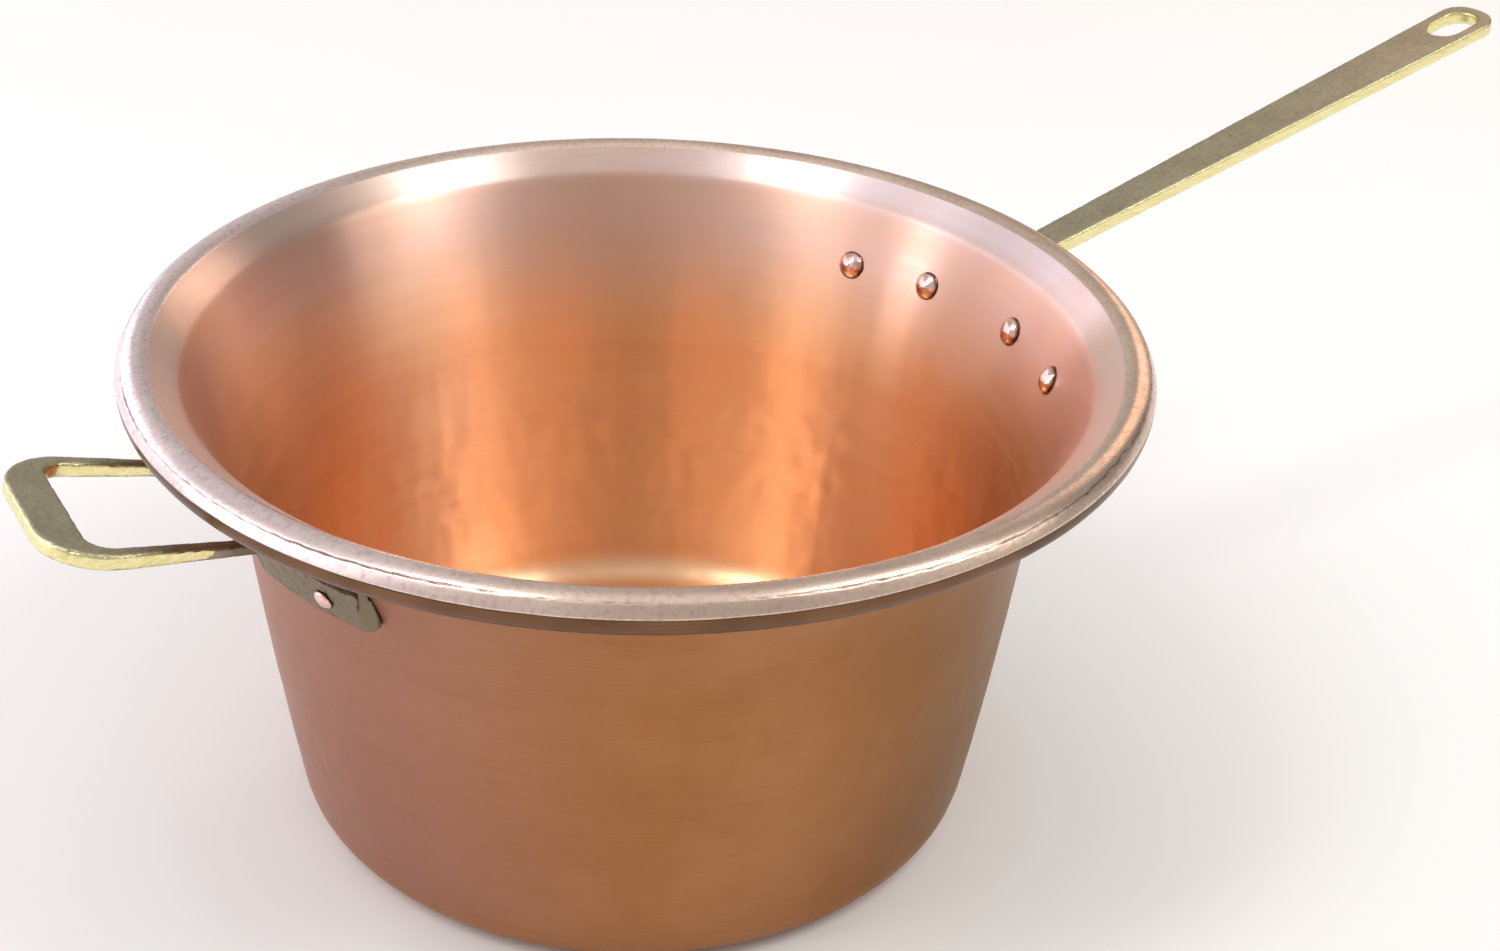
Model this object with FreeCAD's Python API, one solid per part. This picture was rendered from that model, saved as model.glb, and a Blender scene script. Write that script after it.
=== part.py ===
"""Copper saucepan with a flared lip, a bead rolled over a wire, a cast brass handle and a loop grip.

Millimetres. +Z is up, the origin is the centre of the base's underside on the pan's axis, and
the long handle points along +X. Every piece is written to parts/ as its own STEP solid.
"""
import FreeCAD, Part
import math
import os

from FreeCAD import Vector

# ---- driving dimensions: sheet-metal pan ----
RIM_RADIUS = 150.0          # outside of the rolled bead
BEAD_HEIGHT = 148.3         # centre of the bead above the table
BEAD_RADIUS = 5.85          # outside radius of the bead's section
SHEET = 1.5                 # copper thickness
BASE_FLAT_RADIUS = 94.6     # flat part of the base's underside
BASE_CORNER_RADIUS = 12.0   # outside radius between the base and the wall
WALL_LEAN_BOTTOM = 9.0      # degrees from vertical where the wall leaves the base corner
WALL_LEAN_TOP = 6.0         # degrees from vertical where the wall meets the flare
WALL_ARC_RADIUS = 1500.0    # the wall is very slightly barrelled
CREASE_LEAN = 27.0          # degrees from vertical at the top of the flare
CREASE_RADIUS = 4.0         # outside radius of the bend between flare and lip
LIP_SLOPE = 40.0            # degrees from horizontal, rising outwards
ROLL_END = -178.0           # degrees: where the sheet's edge stops after going round the wire
WIRE_CLEARANCE = 0.05       # between the iron wire and the bead that holds it

# ---- driving dimensions: long handle ----
BAR_SLOPE = 12.0            # degrees, rising away from the pan
BAR_START_RADIUS = 157.5    # where the bar's straight part is measured from
BAR_START_HEIGHT = 144.3    # top face at that radius
BAR_THICKNESS = 5.0
BAR_START_WIDTH = 12.2
BAR_TIP_WIDTH = 20.8
BAR_LENGTH = 217.5          # from BAR_START_RADIUS to the tip, along the slope
BAR_TIP_CORNER = 8.5
BAR_ROOT_REACH = 36.0       # from BAR_START_RADIUS inwards, along the slope
BAR_ROOT_WIDTH = 34.0
BAR_NECK_REACH = 10.0       # where the widening towards the root begins
EYE_LENGTH = 20.5
EYE_WIDTH = 12.0
EYE_CENTRE = 202.5          # from BAR_START_RADIUS, along the slope
EDGE_ROUNDING = 0.7

# ---- driving dimensions: the long handle's foot ----
FOOT_THICKNESS = 3.6
FOOT_SWEEP = 30.0           # degrees each side of the handle
FOOT_LOBE_RADIUS = 8.4
FOOT_BOTTOM_RISE = 2.4      # the lower edge arches up by this much at the centre
FOOT_SHOULDER = 16.0        # half width of the raised middle
FOOT_TOP_HEIGHT = 139.0
FOOT_TURN = -2.5            # degrees that the foot sits round from the bar
HANDLE_RIVET_ANGLES = (-24.6, -9.7, 10.0, 24.2)    # from the middle of the foot
HANDLE_RIVET_HEIGHTS = (129.4, 130.2, 128.5, 126.5)

# ---- driving dimensions: loop handle ----
LOOP_AZIMUTH = 175.2        # degrees round from the long handle
LOOP_SLOPE = 14.0           # degrees, rising away from the pan
LOOP_START_RADIUS = 125.0
LOOP_START_HEIGHT = 127.0   # top face at that radius
LOOP_THICKNESS = 4.8        # at the grip
LOOP_ROOT_THICKNESS = 3.4   # the legs get thinner towards the pan
LOOP_THICK_FROM = 36.0      # from LOOP_START_RADIUS outwards the grip has its full thickness
LOOP_INNER_HALF = 24.5      # half width of the finger gap at the grip
LOOP_ROOT_INNER_HALF = 20.5
LOOP_LEG_WIDTH = 6.4        # where the legs meet the grip
LOOP_ROOT_LEG_WIDTH = 3.6
LOOP_GRIP_INNER = 46.8      # from LOOP_START_RADIUS, along the slope
LOOP_GRIP_WIDTH = 12.2
LOOP_INNER_CORNER = 6.5
LOOP_OUTER_CORNER = 17.0
LOOP_ROOT_REACH = 6.0
LOOP_ROUNDING = 1.1
LOOP_FOOT_LOW = 115.2
LOOP_FOOT_HIGH = 128.6
LOOP_FOOT_FROM = 7.5        # degrees from the loop's middle
LOOP_FOOT_TAIL = 7.0        # degrees that each foot runs on past its rivet
LOOP_FOOT_THICKNESS = 4.0
LOOP_FOOT_BEVEL = 3.4       # length of the bevel at each foot's end
LOOP_RIVET_ANGLES = (-21.6, 21.6)
LOOP_RIVET_HEIGHT = 121.6

# ---- driving dimensions: rivets ----
SHANK_RADIUS = 2.4
SHANK_CLEARANCE = 0.05
INNER_HEAD = (4.8, 2.8)     # each head's radius and height
OUTER_HEAD = (3.6, 1.9)
LOOP_INNER_HEAD = (3.6, 0.6)    # hammered nearly flush with the inside of the wall
LOOP_OUTER_HEAD = (3.3, 1.7)
HEAD_SINK = 0.5             # each head starts this deep, then is trimmed to the curved metal

AXIS = Vector(0, 0, 1)
ORIGIN = Vector(0, 0, 0)
MARGIN = 30.0               # how far cutting blocks run past the metal
DRILL_REACH = 12.0          # each way from the sheet along a rivet's axis
LEVEL = 0.1                 # an edge is at the root if it lies within this of the root line


def mean(first, second):
    return (first + second) / 2


def point(radius, height):
    """A point of the half section in the XZ plane."""
    return Vector(radius, 0, height)


def outward(lean_degrees):
    """The outer surface's normal where the sheet leans outwards by this much from vertical."""
    lean = math.radians(lean_degrees)
    return Vector(math.cos(lean), 0, -math.sin(lean))


def arc(centre, radius, start_direction, end_direction):
    """The shorter arc about centre between two unit directions in the section plane."""
    middle = (start_direction + end_direction).normalize()
    return Part.Arc(
        centre + start_direction * radius,
        centre + middle * radius,
        centre + end_direction * radius,
    ).toShape()


def line(start, end):
    return Part.LineSegment(start, end).toShape()


# ---- the sheet's outer surface: base, corner, wall, flare, bend, lip, roll ----
LIP_LEAN = 90.0 - LIP_SLOPE
CORNER_CENTRE = point(BASE_FLAT_RADIUS, BASE_CORNER_RADIUS)
WALL_CENTRE = CORNER_CENTRE + outward(WALL_LEAN_BOTTOM) * (BASE_CORNER_RADIUS - WALL_ARC_RADIUS)
WALL_TOP = WALL_CENTRE + outward(WALL_LEAN_TOP) * WALL_ARC_RADIUS
BEAD_CENTRE = point(RIM_RADIUS - BEAD_RADIUS, BEAD_HEIGHT)
ROLL_RADIUS = BEAD_RADIUS - SHEET


def flare_radius():
    """The radius that carries the wall's top smoothly into the bend and the straight lip."""
    lip_normal = outward(LIP_LEAN)
    crease_normal = outward(CREASE_LEAN)
    gap = (WALL_TOP - BEAD_CENTRE).dot(lip_normal) + ROLL_RADIUS
    bend = CREASE_RADIUS * (crease_normal.dot(lip_normal) - 1)
    return -(gap + bend) / (outward(WALL_LEAN_TOP) - crease_normal).dot(lip_normal)


FLARE_RADIUS = flare_radius()
FLARE_CENTRE = WALL_TOP + outward(WALL_LEAN_TOP) * FLARE_RADIUS
CREASE_CENTRE = FLARE_CENTRE + outward(CREASE_LEAN) * (CREASE_RADIUS - FLARE_RADIUS)


def roll_direction(degrees):
    angle = math.radians(degrees)
    return Vector(math.cos(angle), 0, math.sin(angle))


def pan_profile(inset):
    """Edges of the sheet's section from the axis to the lip, this far inside its outer surface."""
    corner = BASE_CORNER_RADIUS - inset
    wall = WALL_ARC_RADIUS - inset
    flare = FLARE_RADIUS + inset
    bend = CREASE_RADIUS + inset
    down = Vector(0, 0, -1)
    lip_start = CREASE_CENTRE - outward(LIP_LEAN) * bend
    lip_end = BEAD_CENTRE - outward(LIP_LEAN) * (ROLL_RADIUS + inset)
    return [
        line(point(0, inset), point(BASE_FLAT_RADIUS, inset)),
        arc(CORNER_CENTRE, corner, down, outward(WALL_LEAN_BOTTOM)),
        arc(WALL_CENTRE, wall, outward(WALL_LEAN_BOTTOM), outward(WALL_LEAN_TOP)),
        arc(FLARE_CENTRE, flare, -outward(WALL_LEAN_TOP), -outward(CREASE_LEAN)),
        arc(CREASE_CENTRE, bend, -outward(CREASE_LEAN), -outward(LIP_LEAN)),
        line(lip_start, lip_end),
    ]


def bead_roll(inset):
    """The sheet's path round the wire, from the lip over the top and back under itself."""
    radius = ROLL_RADIUS + inset
    start = 90.0 + LIP_SLOPE
    middle = (start + ROLL_END) / 2
    ends = (start, middle, ROLL_END)
    return Part.Arc(*(BEAD_CENTRE + roll_direction(a) * radius for a in ends)).toShape()


def end_of(edge):
    return edge.valueAt(edge.LastParameter)


def revolved(edges, degrees=360.0):
    face = Part.Face(Part.Wire(Part.__sortEdges__(edges)))
    return face.revolve(ORIGIN, AXIS, degrees)


def bare_pan():
    outer = pan_profile(0) + [bead_roll(0)]
    inner = pan_profile(SHEET) + [bead_roll(SHEET)]
    rolled_edge = line(end_of(outer[-1]), end_of(inner[-1]))
    centre_line = line(point(0, 0), point(0, SHEET))
    return revolved(outer + inner + [rolled_edge, centre_line])


def pan_envelope():
    """The space the pan fills with its inside, up to the lip: it trims what sits against the wall."""
    outer = pan_profile(0)
    lip_end = end_of(outer[-1])
    top = line(lip_end, point(0, lip_end.z))
    return revolved(outer + [top, line(point(0, lip_end.z), point(0, 0))])


def rim_wire():
    radius = ROLL_RADIUS - WIRE_CLEARANCE
    return Part.makeTorus(BEAD_CENTRE.x, radius, point(0, BEAD_HEIGHT))


def flare_lean(height):
    """How far the sheet leans outwards, in degrees, at this height on the flare's outer surface."""
    return math.degrees(math.asin((height - FLARE_CENTRE.z) / FLARE_RADIUS))


def flare_shell(low, high, thickness, start_degrees, sweep_degrees):
    """Metal of this thickness laid on the flare's outside between two heights."""
    near, far = flare_lean(low), flare_lean(high)
    inner = arc(FLARE_CENTRE, FLARE_RADIUS, -outward(near), -outward(far))
    outer = arc(FLARE_CENTRE, FLARE_RADIUS - thickness, -outward(near), -outward(far))
    ends = [
        line(inner.valueAt(inner.FirstParameter), outer.valueAt(outer.FirstParameter)),
        line(end_of(inner), end_of(outer)),
    ]
    shell = revolved([inner, outer] + ends, sweep_degrees)
    return shell.rotate(ORIGIN, AXIS, start_degrees)


def tilted(shape, start_radius, start_height, slope):
    """Move a shape drawn flat, its top face at height 0, to a handle's sloping plane."""
    shape.rotate(ORIGIN, Vector(0, 1, 0), -slope)
    shape.translate(point(start_radius, start_height))
    return shape


def prism(edges, direction):
    return Part.Face(Part.Wire(edges)).extrude(direction)


def slab(outline, thickness):
    """A flat piece with its top face at height 0."""
    return prism(outline, Vector(0, 0, -thickness))


def mirrored(vector):
    return Vector(vector.x, -vector.y, vector.z)


def bar_outline():
    """The long handle in plan: wide root, narrow neck, slow taper out to a rounded tip."""
    half_start = BAR_START_WIDTH / 2
    half_tip = BAR_TIP_WIDTH / 2
    taper = (half_tip - half_start) / BAR_LENGTH
    root = Vector(-BAR_ROOT_REACH, BAR_ROOT_WIDTH / 2, 0)
    neck = Vector(-BAR_NECK_REACH, half_start - BAR_NECK_REACH * taper, 0)
    bend = Vector((root.x * 2 + neck.x) / 3, neck.y + (root.y - neck.y) / 4, 0)
    corner = Vector(BAR_LENGTH - BAR_TIP_CORNER, half_tip, 0)
    tip = Vector(BAR_LENGTH, half_tip - BAR_TIP_CORNER, 0)
    knee = corner + Vector(math.sin(math.pi / 4), math.cos(math.pi / 4) - 1, 0) * BAR_TIP_CORNER
    return [
        Part.Arc(root, bend, neck).toShape(),
        line(neck, corner),
        Part.Arc(corner, knee, tip).toShape(),
        line(tip, mirrored(tip)),
        Part.Arc(mirrored(tip), mirrored(knee), mirrored(corner)).toShape(),
        line(mirrored(corner), mirrored(neck)),
        Part.Arc(mirrored(neck), mirrored(bend), mirrored(root)).toShape(),
        line(mirrored(root), root),
    ]


def hanging_eye():
    """The long hole near the handle's tip, as the solid that is cut away."""
    half = (EYE_LENGTH - EYE_WIDTH) / 2
    radius = EYE_WIDTH / 2
    near, far = EYE_CENTRE - half, EYE_CENTRE + half
    outline = [
        line(Vector(near, radius, 0), Vector(far, radius, 0)),
        Part.Arc(Vector(far, radius, 0), Vector(far + radius, 0, 0), Vector(far, -radius, 0)).toShape(),
        line(Vector(far, -radius, 0), Vector(near, -radius, 0)),
        Part.Arc(Vector(near, -radius, 0), Vector(near - radius, 0, 0), Vector(near, radius, 0)).toShape(),
    ]
    hole = prism(outline, Vector(0, 0, BAR_THICKNESS + 2 * MARGIN))
    hole.translate(Vector(0, 0, -BAR_THICKNESS - MARGIN))
    return hole


def long_edges(shape, root_reach):
    """The edges round the top and bottom faces, leaving out upright ones and those at the root."""
    boxes = [(edge, edge.BoundBox) for edge in shape.Edges]
    lying = [(edge, box) for edge, box in boxes if box.ZLength < max(box.XLength, box.YLength)]
    return [edge for edge, box in lying if box.XMax > LEVEL - root_reach]


def handle_bar():
    bar = slab(bar_outline(), BAR_THICKNESS).cut(hanging_eye())
    bar = bar.makeFillet(EDGE_ROUNDING, long_edges(bar, BAR_ROOT_REACH))
    return tilted(bar, BAR_START_RADIUS, BAR_START_HEIGHT, BAR_SLOPE)


def rivet_place(angle, height):
    """A rivet's axis point on the pan's outer surface and its outward direction."""
    normal = outward(flare_lean(height))
    place = FLARE_CENTRE - normal * FLARE_RADIUS
    turn = FreeCAD.Rotation(AXIS, angle)
    return turn.multVec(place), turn.multVec(normal)


def foot_outline():
    """The long handle's foot seen from its end: two lobes a side, arched under the middle."""
    end_y, end_z = lobe_centre(0, 3)
    lobe = FOOT_LOBE_RADIUS
    low = Vector(0, end_y, end_z - lobe)
    tip = Vector(0, end_y + lobe, end_z)
    high = Vector(0, end_y, end_z + lobe)
    inner_y, inner_z = lobe_centre(1, 2)
    saddle = Vector(0, mean(inner_y, end_y), inner_z + lobe - FOOT_BOTTOM_RISE / 2)
    shoulder = Vector(0, FOOT_SHOULDER, FOOT_TOP_HEIGHT)
    arch = Vector(0, 0, low.z + FOOT_BOTTOM_RISE)
    return [
        Part.Arc(mirrored(low), arch, low).toShape(),
        Part.Arc(low, tip, high).toShape(),
        Part.Arc(high, saddle, shoulder).toShape(),
        line(shoulder, mirrored(shoulder)),
        Part.Arc(mirrored(shoulder), mirrored(saddle), mirrored(high)).toShape(),
        Part.Arc(mirrored(high), mirrored(tip), mirrored(low)).toShape(),
    ]


def lobe_centre(left, right):
    """Across and up to the middle of a lobe, from the two rivets that lie opposite each other."""
    angle = mean(HANDLE_RIVET_ANGLES[right], -HANDLE_RIVET_ANGLES[left])
    height = mean(HANDLE_RIVET_HEIGHTS[left], HANDLE_RIVET_HEIGHTS[right])
    place, _ = rivet_place(angle, height)
    return place.y, place.z


def handle_foot():
    low = min(HANDLE_RIVET_HEIGHTS) - FOOT_LOBE_RADIUS - SHEET
    high = FOOT_TOP_HEIGHT + SHEET
    shell = flare_shell(low, high, FOOT_THICKNESS, -FOOT_SWEEP, 2 * FOOT_SWEEP)
    foot = shell.common(prism(foot_outline(), Vector(RIM_RADIUS + MARGIN, 0, 0)))
    return foot.rotate(ORIGIN, AXIS, FOOT_TURN)


def long_handle(envelope):
    whole = handle_bar().cut(envelope).fuse(handle_foot())
    return whole.removeSplitter().Solids[0]


def rounded_end(root_half, end_half, reach, corner):
    """A closed outline from the pan's side out to this reach, with two rounded far corners."""
    start = Vector(-LOOP_ROOT_REACH, root_half, 0)
    apex = Vector(reach, end_half, 0)
    along = (apex - start).normalize()
    setback = corner * math.tan(math.atan2(along.x, -along.y) / 2)
    side = apex - along * setback
    end = apex - Vector(0, setback, 0)
    centre = end - Vector(corner, 0, 0)
    knee = centre + (apex - centre).normalize() * corner
    return [
        line(start, side),
        Part.Arc(side, knee, end).toShape(),
        line(end, mirrored(end)),
        Part.Arc(mirrored(end), mirrored(knee), mirrored(side)).toShape(),
        line(mirrored(side), mirrored(start)),
        line(mirrored(start), start),
    ]


def grip_side_view():
    """The loop grip seen from the side: flat on top, thinner towards the pan."""
    reach = LOOP_GRIP_INNER + LOOP_GRIP_WIDTH
    corners = [
        point(-LOOP_ROOT_REACH, 0),
        point(reach, 0),
        point(reach, -LOOP_THICKNESS),
        point(LOOP_THICK_FROM, -LOOP_THICKNESS),
        point(-LOOP_ROOT_REACH, -LOOP_ROOT_THICKNESS),
    ]
    return [line(start, end) for start, end in zip(corners, corners[1:] + corners[:1])]


def loop_grip():
    """Two legs that spread towards a broad grip, round a finger gap."""
    outer = rounded_end(
        LOOP_ROOT_INNER_HALF + LOOP_ROOT_LEG_WIDTH,
        LOOP_INNER_HALF + LOOP_LEG_WIDTH,
        LOOP_GRIP_INNER + LOOP_GRIP_WIDTH,
        LOOP_OUTER_CORNER,
    )
    inner = rounded_end(LOOP_ROOT_INNER_HALF, LOOP_INNER_HALF, LOOP_GRIP_INNER, LOOP_INNER_CORNER)
    plan = slab(outer, LOOP_THICKNESS).cut(slab(inner, LOOP_THICKNESS))
    width = Vector(0, 2 * MARGIN, 0)
    side_view = prism(grip_side_view(), 2 * width)
    side_view.translate(-width)
    grip = plan.common(side_view)
    grip = grip.makeFillet(LOOP_ROUNDING, long_edges(grip, LOOP_ROOT_REACH))
    return tilted(grip, LOOP_START_RADIUS, LOOP_START_HEIGHT, LOOP_SLOPE)


def loop_foot(rivet_angle):
    """One foot along the wall, out past its rivet and bevelled away at its far end."""
    foot_end = abs(rivet_angle) + LOOP_FOOT_TAIL
    sweep = foot_end - LOOP_FOOT_FROM
    foot = flare_shell(LOOP_FOOT_LOW, LOOP_FOOT_HIGH, LOOP_FOOT_THICKNESS, LOOP_FOOT_FROM, sweep)
    middle_height = mean(LOOP_FOOT_LOW, LOOP_FOOT_HIGH)
    normal = outward(flare_lean(middle_height))
    face = FLARE_CENTRE - normal * (FLARE_RADIUS - LOOP_FOOT_THICKNESS)
    block = Part.makeBox(MARGIN, MARGIN, MARGIN, Vector(0, 0, -MARGIN / 2))
    bevel = math.degrees(math.atan2(LOOP_FOOT_THICKNESS, LOOP_FOOT_BEVEL))
    block.rotate(ORIGIN, AXIS, bevel)
    block.translate(Vector(face.x, -LOOP_FOOT_BEVEL, middle_height))
    block.rotate(ORIGIN, AXIS, foot_end)
    foot = foot.cut(block)
    return foot if rivet_angle > 0 else foot.mirror(ORIGIN, Vector(0, 1, 0))


def loop_handle(envelope):
    whole = loop_grip().cut(envelope)
    for rivet_angle in LOOP_RIVET_ANGLES:
        whole = whole.fuse(loop_foot(rivet_angle))
    whole = whole.removeSplitter().Solids[0]
    return whole.rotate(ORIGIN, AXIS, LOOP_AZIMUTH)


def dome(head, base, direction):
    """A rivet's domed head on a short cylinder that reaches HEAD_SINK below its base."""
    radius, height = head
    ball_radius = (radius ** 2 + height ** 2) / (2 * height)
    half_angle = math.asin(radius / ball_radius) / 2
    shoulder = Vector(ball_radius * math.sin(half_angle), 0,
                      height - ball_radius * (1 - math.cos(half_angle)))
    foot = Vector(0, 0, -HEAD_SINK)
    corner = Vector(radius, 0, -HEAD_SINK)
    edge = Vector(radius, 0, 0)
    apex = Vector(0, 0, height)
    section = [line(foot, corner), line(corner, edge), Part.Arc(edge, shoulder, apex).toShape(),
               line(apex, foot)]
    head = revolved(section)
    head.Placement = FreeCAD.Placement(base, FreeCAD.Rotation(AXIS, direction))
    return head


def rivet(axis_point, foot_thickness, heads, pan, foot):
    """A shank through the sheet and the foot, with a dome seated on the metal at each end."""
    place, normal = axis_point
    inside = place - normal * SHEET
    outside = place + normal * foot_thickness
    inner_head = dome(heads[0], inside, -normal).cut(pan)
    outer_head = dome(heads[1], outside, normal).cut(foot)
    length = SHEET + foot_thickness + 2 * HEAD_SINK
    shank = Part.makeCylinder(SHANK_RADIUS, length, inside - normal * HEAD_SINK, normal)
    return shank.fuse([inner_head, outer_head]).Solids[0]


def drilled(shape, places):
    """The shape with a rivet hole at each place."""
    radius = SHANK_RADIUS + SHANK_CLEARANCE
    for place, normal in places:
        hole = Part.makeCylinder(radius, 2 * DRILL_REACH, place - normal * DRILL_REACH, normal)
        shape = shape.cut(hole)
    return shape.Solids[0]


def main():
    os.makedirs("parts", exist_ok=True)
    envelope = pan_envelope()
    pan = bare_pan()
    handle = long_handle(envelope)
    loop = loop_handle(envelope)

    handle_places = [
        rivet_place(FOOT_TURN + angle, height)
        for angle, height in zip(HANDLE_RIVET_ANGLES, HANDLE_RIVET_HEIGHTS)
    ]
    loop_places = [rivet_place(LOOP_AZIMUTH + a, LOOP_RIVET_HEIGHT) for a in LOOP_RIVET_ANGLES]
    solids = {
        "pan_body": drilled(pan, handle_places + loop_places),
        "rim_wire": rim_wire(),
        "long_handle": drilled(handle, handle_places),
        "loop_handle": drilled(loop, loop_places),
    }
    heads = (INNER_HEAD, OUTER_HEAD)
    for number, place in enumerate(handle_places, 1):
        solids[f"handle_rivet_{number}"] = rivet(place, FOOT_THICKNESS, heads, pan, handle)
    heads = (LOOP_INNER_HEAD, LOOP_OUTER_HEAD)
    for number, place in enumerate(loop_places, 1):
        solids[f"loop_rivet_{number}"] = rivet(place, LOOP_FOOT_THICKNESS, heads, pan, loop)
    for name, solid in solids.items():
        print(name, solid.ShapeType, solid.isValid(), round(solid.Volume, 1))
        solid.exportStep(f"parts/{name}.step")


main()
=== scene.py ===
"""Looks for the copper saucepan: spun copper body, cast brass handles and copper rivets.

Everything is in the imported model's frame. Shapes are worked out in millimetres and written in metres.
"""
import math

import bmesh
import bpy
import numpy as np
from mathutils import Matrix, Vector, noise


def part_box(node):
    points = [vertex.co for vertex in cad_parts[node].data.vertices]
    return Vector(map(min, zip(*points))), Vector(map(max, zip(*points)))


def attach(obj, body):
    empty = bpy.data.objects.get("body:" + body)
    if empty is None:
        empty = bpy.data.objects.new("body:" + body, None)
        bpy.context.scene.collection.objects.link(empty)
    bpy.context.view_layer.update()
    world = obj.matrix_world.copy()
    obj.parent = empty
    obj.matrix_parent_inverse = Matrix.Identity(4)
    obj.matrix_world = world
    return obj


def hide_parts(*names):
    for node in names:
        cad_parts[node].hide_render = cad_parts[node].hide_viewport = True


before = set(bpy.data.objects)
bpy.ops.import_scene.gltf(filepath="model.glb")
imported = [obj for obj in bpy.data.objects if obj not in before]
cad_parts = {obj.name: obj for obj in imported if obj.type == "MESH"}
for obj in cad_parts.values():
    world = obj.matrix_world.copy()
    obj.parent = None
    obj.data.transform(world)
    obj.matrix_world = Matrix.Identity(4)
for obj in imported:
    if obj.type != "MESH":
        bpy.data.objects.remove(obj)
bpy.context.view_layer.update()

MM = 0.001

# ---- the sheet-metal section, in millimetres and degrees ----
RIM_RADIUS = 150.0
BEAD_HEIGHT = 148.3
BEAD_RADIUS = 5.85
SHEET = 1.5
BASE_FLAT_RADIUS = 94.6
BASE_CORNER_RADIUS = 12.0
WALL_LEAN_BOTTOM = 9.0
WALL_LEAN_TOP = 6.0
WALL_ARC_RADIUS = 1500.0
CREASE_LEAN = 27.0
CREASE_RADIUS = 4.0
LIP_SLOPE = 40.0
ROLL_END = -178.0

# ---- the surface of revolution ----
SEGMENTS = 900          # steps round the axis
INSIDE_STEP = 1.6       # along the section, in millimetres
OUTSIDE_STEP = 2.4
ON_AXIS = 1e-6          # a point nearer the axis than this is the pole
DENTS_FADE_FROM = 122.0     # radius where the wall's dents start to die out, towards the lip
DENTS_FADE_OVER = 10.0
DENTS_RISE_OVER = 14.0      # height over which they build up from the base
LOW_MARKS_HEIGHT = 45.0     # the hammered band near the bottom of the wall
LOW_MARKS_SPREAD = 38.0
PANEL_DEPTH = 0.16          # the depths of the wall's dents
LOW_MARK_DEPTH = 0.13
FLUTE_DEPTH = 0.03

# ---- the bead: a ragged seam, and a hammered band between it and an arris ----
# angles are in degrees above the bead's equator
CRACK_ANGLE = 50.0
CRACK_WANDER = 14.0         # slow drift of the seam round the rim
CRACK_JITTER = 3.5
CRACK_WIDTH = 2.6
ARRIS_ANGLE = 12.0
ARRIS_JITTER = 1.2
# the dark line below the arris is painted shade under its edge
ARRIS_BELOW = 2.0           # the arris's dark line lies this far under it
ARRIS_WIDTH = 2.2
BEAD_DENT_TOP = 126.0       # the bead's dents die out here, where the lip takes over
BEAD_DENT_FADE = 8.0
BEAD_UNDER_FROM = -60.0     # and from here down, round the underside
BEAD_UNDER_FADE = 40.0
CRACK_DEPTH = 0.22
ARRIS_DEPTH = 0.10
HAMMERED_DEPTH = 0.15
PIT_DEPTH = 0.035
WAVE_DEPTH = 0.05           # above the seam and below the arris
UNDER_DEPTH = 0.18          # below the arris the bead sits this much further in
UNDER_OVER = 8.0            # degrees over which it steps in

# ---- zones of the pan's surface: indices into its list of materials ----
INSIDE_ZONE, BEAD_TOP_ZONE, BEAD_UNDER_ZONE, OUTSIDE_ZONE = range(4)
BEAD_TOP_FROM = ARRIS_ANGLE - 2.0

# ---- the cast and forged pieces' skins ----
WELD = 1e-6                 # metres: CAD vertices nearer than this are one
BAR_VOXEL = 0.0006          # metres
LOOP_VOXEL = 0.0005
RIVET_VOXEL = 0.00025
BAR_SAND, BAR_CHIP = 0.10, 0.25     # depth of the sand's grain and of the chipped edges, in millimetres
LOOP_SAND, LOOP_CHIP = 0.16, 0.7
RIVET_FLATS = 0.22
STEEP_BELOW = 0.35          # cosine to the flat face: below this a face counts as a flank
FLAT_OVER = 0.5
LOOP_RIVET_FLUSH = 0.85     # how far the loop rivets' inner heads are hammered into the wall
INNER_HEAD_FROM = -2.0      # along a rivet's axis from its middle, in millimetres

# ---- the handles' planes, in radians ----
BAR_SLOPE = math.radians(12.0)
LOOP_SLOPE = math.radians(14.0)
LOOP_AZIMUTH = math.radians(175.2)

# ---- the camera; places from here on are in metres ----
VIEW_AZIMUTH = math.radians(53.2)      # the camera looks along this direction
VIEW_ELEVATION = math.radians(30.01)   # from this far above the horizon
VIEW_ROLL = math.radians(2.54)
CAMERA_PLACE = Vector((-0.3201, -0.4837, 0.4382))
CAMERA_LENS = 52.8
SENSOR_WIDTH = 36.0

# ---- the set ----
LAMP_DISTANCE = 1.7
LAMP_AIM = Vector((0, 0, 0.10))
FLOOR_RINGS = (0.6, 1.5, 4.0, 9.0)      # radii in metres
FLOOR_SEGMENTS = 96
FLOOR_GAP = 0.0004          # just under the base, so that the two don't share a plane


# ------------------------------------------------------------------ section of the pan
def outward(lean):
    angle = math.radians(lean)
    return np.array([math.cos(angle), -math.sin(angle)])


LIP_LEAN = 90.0 - LIP_SLOPE
CORNER_CENTRE = np.array([BASE_FLAT_RADIUS, BASE_CORNER_RADIUS])
WALL_CENTRE = CORNER_CENTRE + outward(WALL_LEAN_BOTTOM) * (BASE_CORNER_RADIUS - WALL_ARC_RADIUS)
WALL_TOP = WALL_CENTRE + outward(WALL_LEAN_TOP) * WALL_ARC_RADIUS
BEAD_CENTRE = np.array([RIM_RADIUS - BEAD_RADIUS, BEAD_HEIGHT])
ROLL_RADIUS = BEAD_RADIUS - SHEET


def flare_radius():
    lip_normal, crease_normal = outward(LIP_LEAN), outward(CREASE_LEAN)
    gap = (WALL_TOP - BEAD_CENTRE) @ lip_normal + ROLL_RADIUS
    bend = CREASE_RADIUS * (crease_normal @ lip_normal - 1)
    return -(gap + bend) / ((outward(WALL_LEAN_TOP) - crease_normal) @ lip_normal)


FLARE_RADIUS = flare_radius()
FLARE_CENTRE = WALL_TOP + outward(WALL_LEAN_TOP) * FLARE_RADIUS
CREASE_CENTRE = FLARE_CENTRE + outward(CREASE_LEAN) * (CREASE_RADIUS - FLARE_RADIUS)


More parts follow.
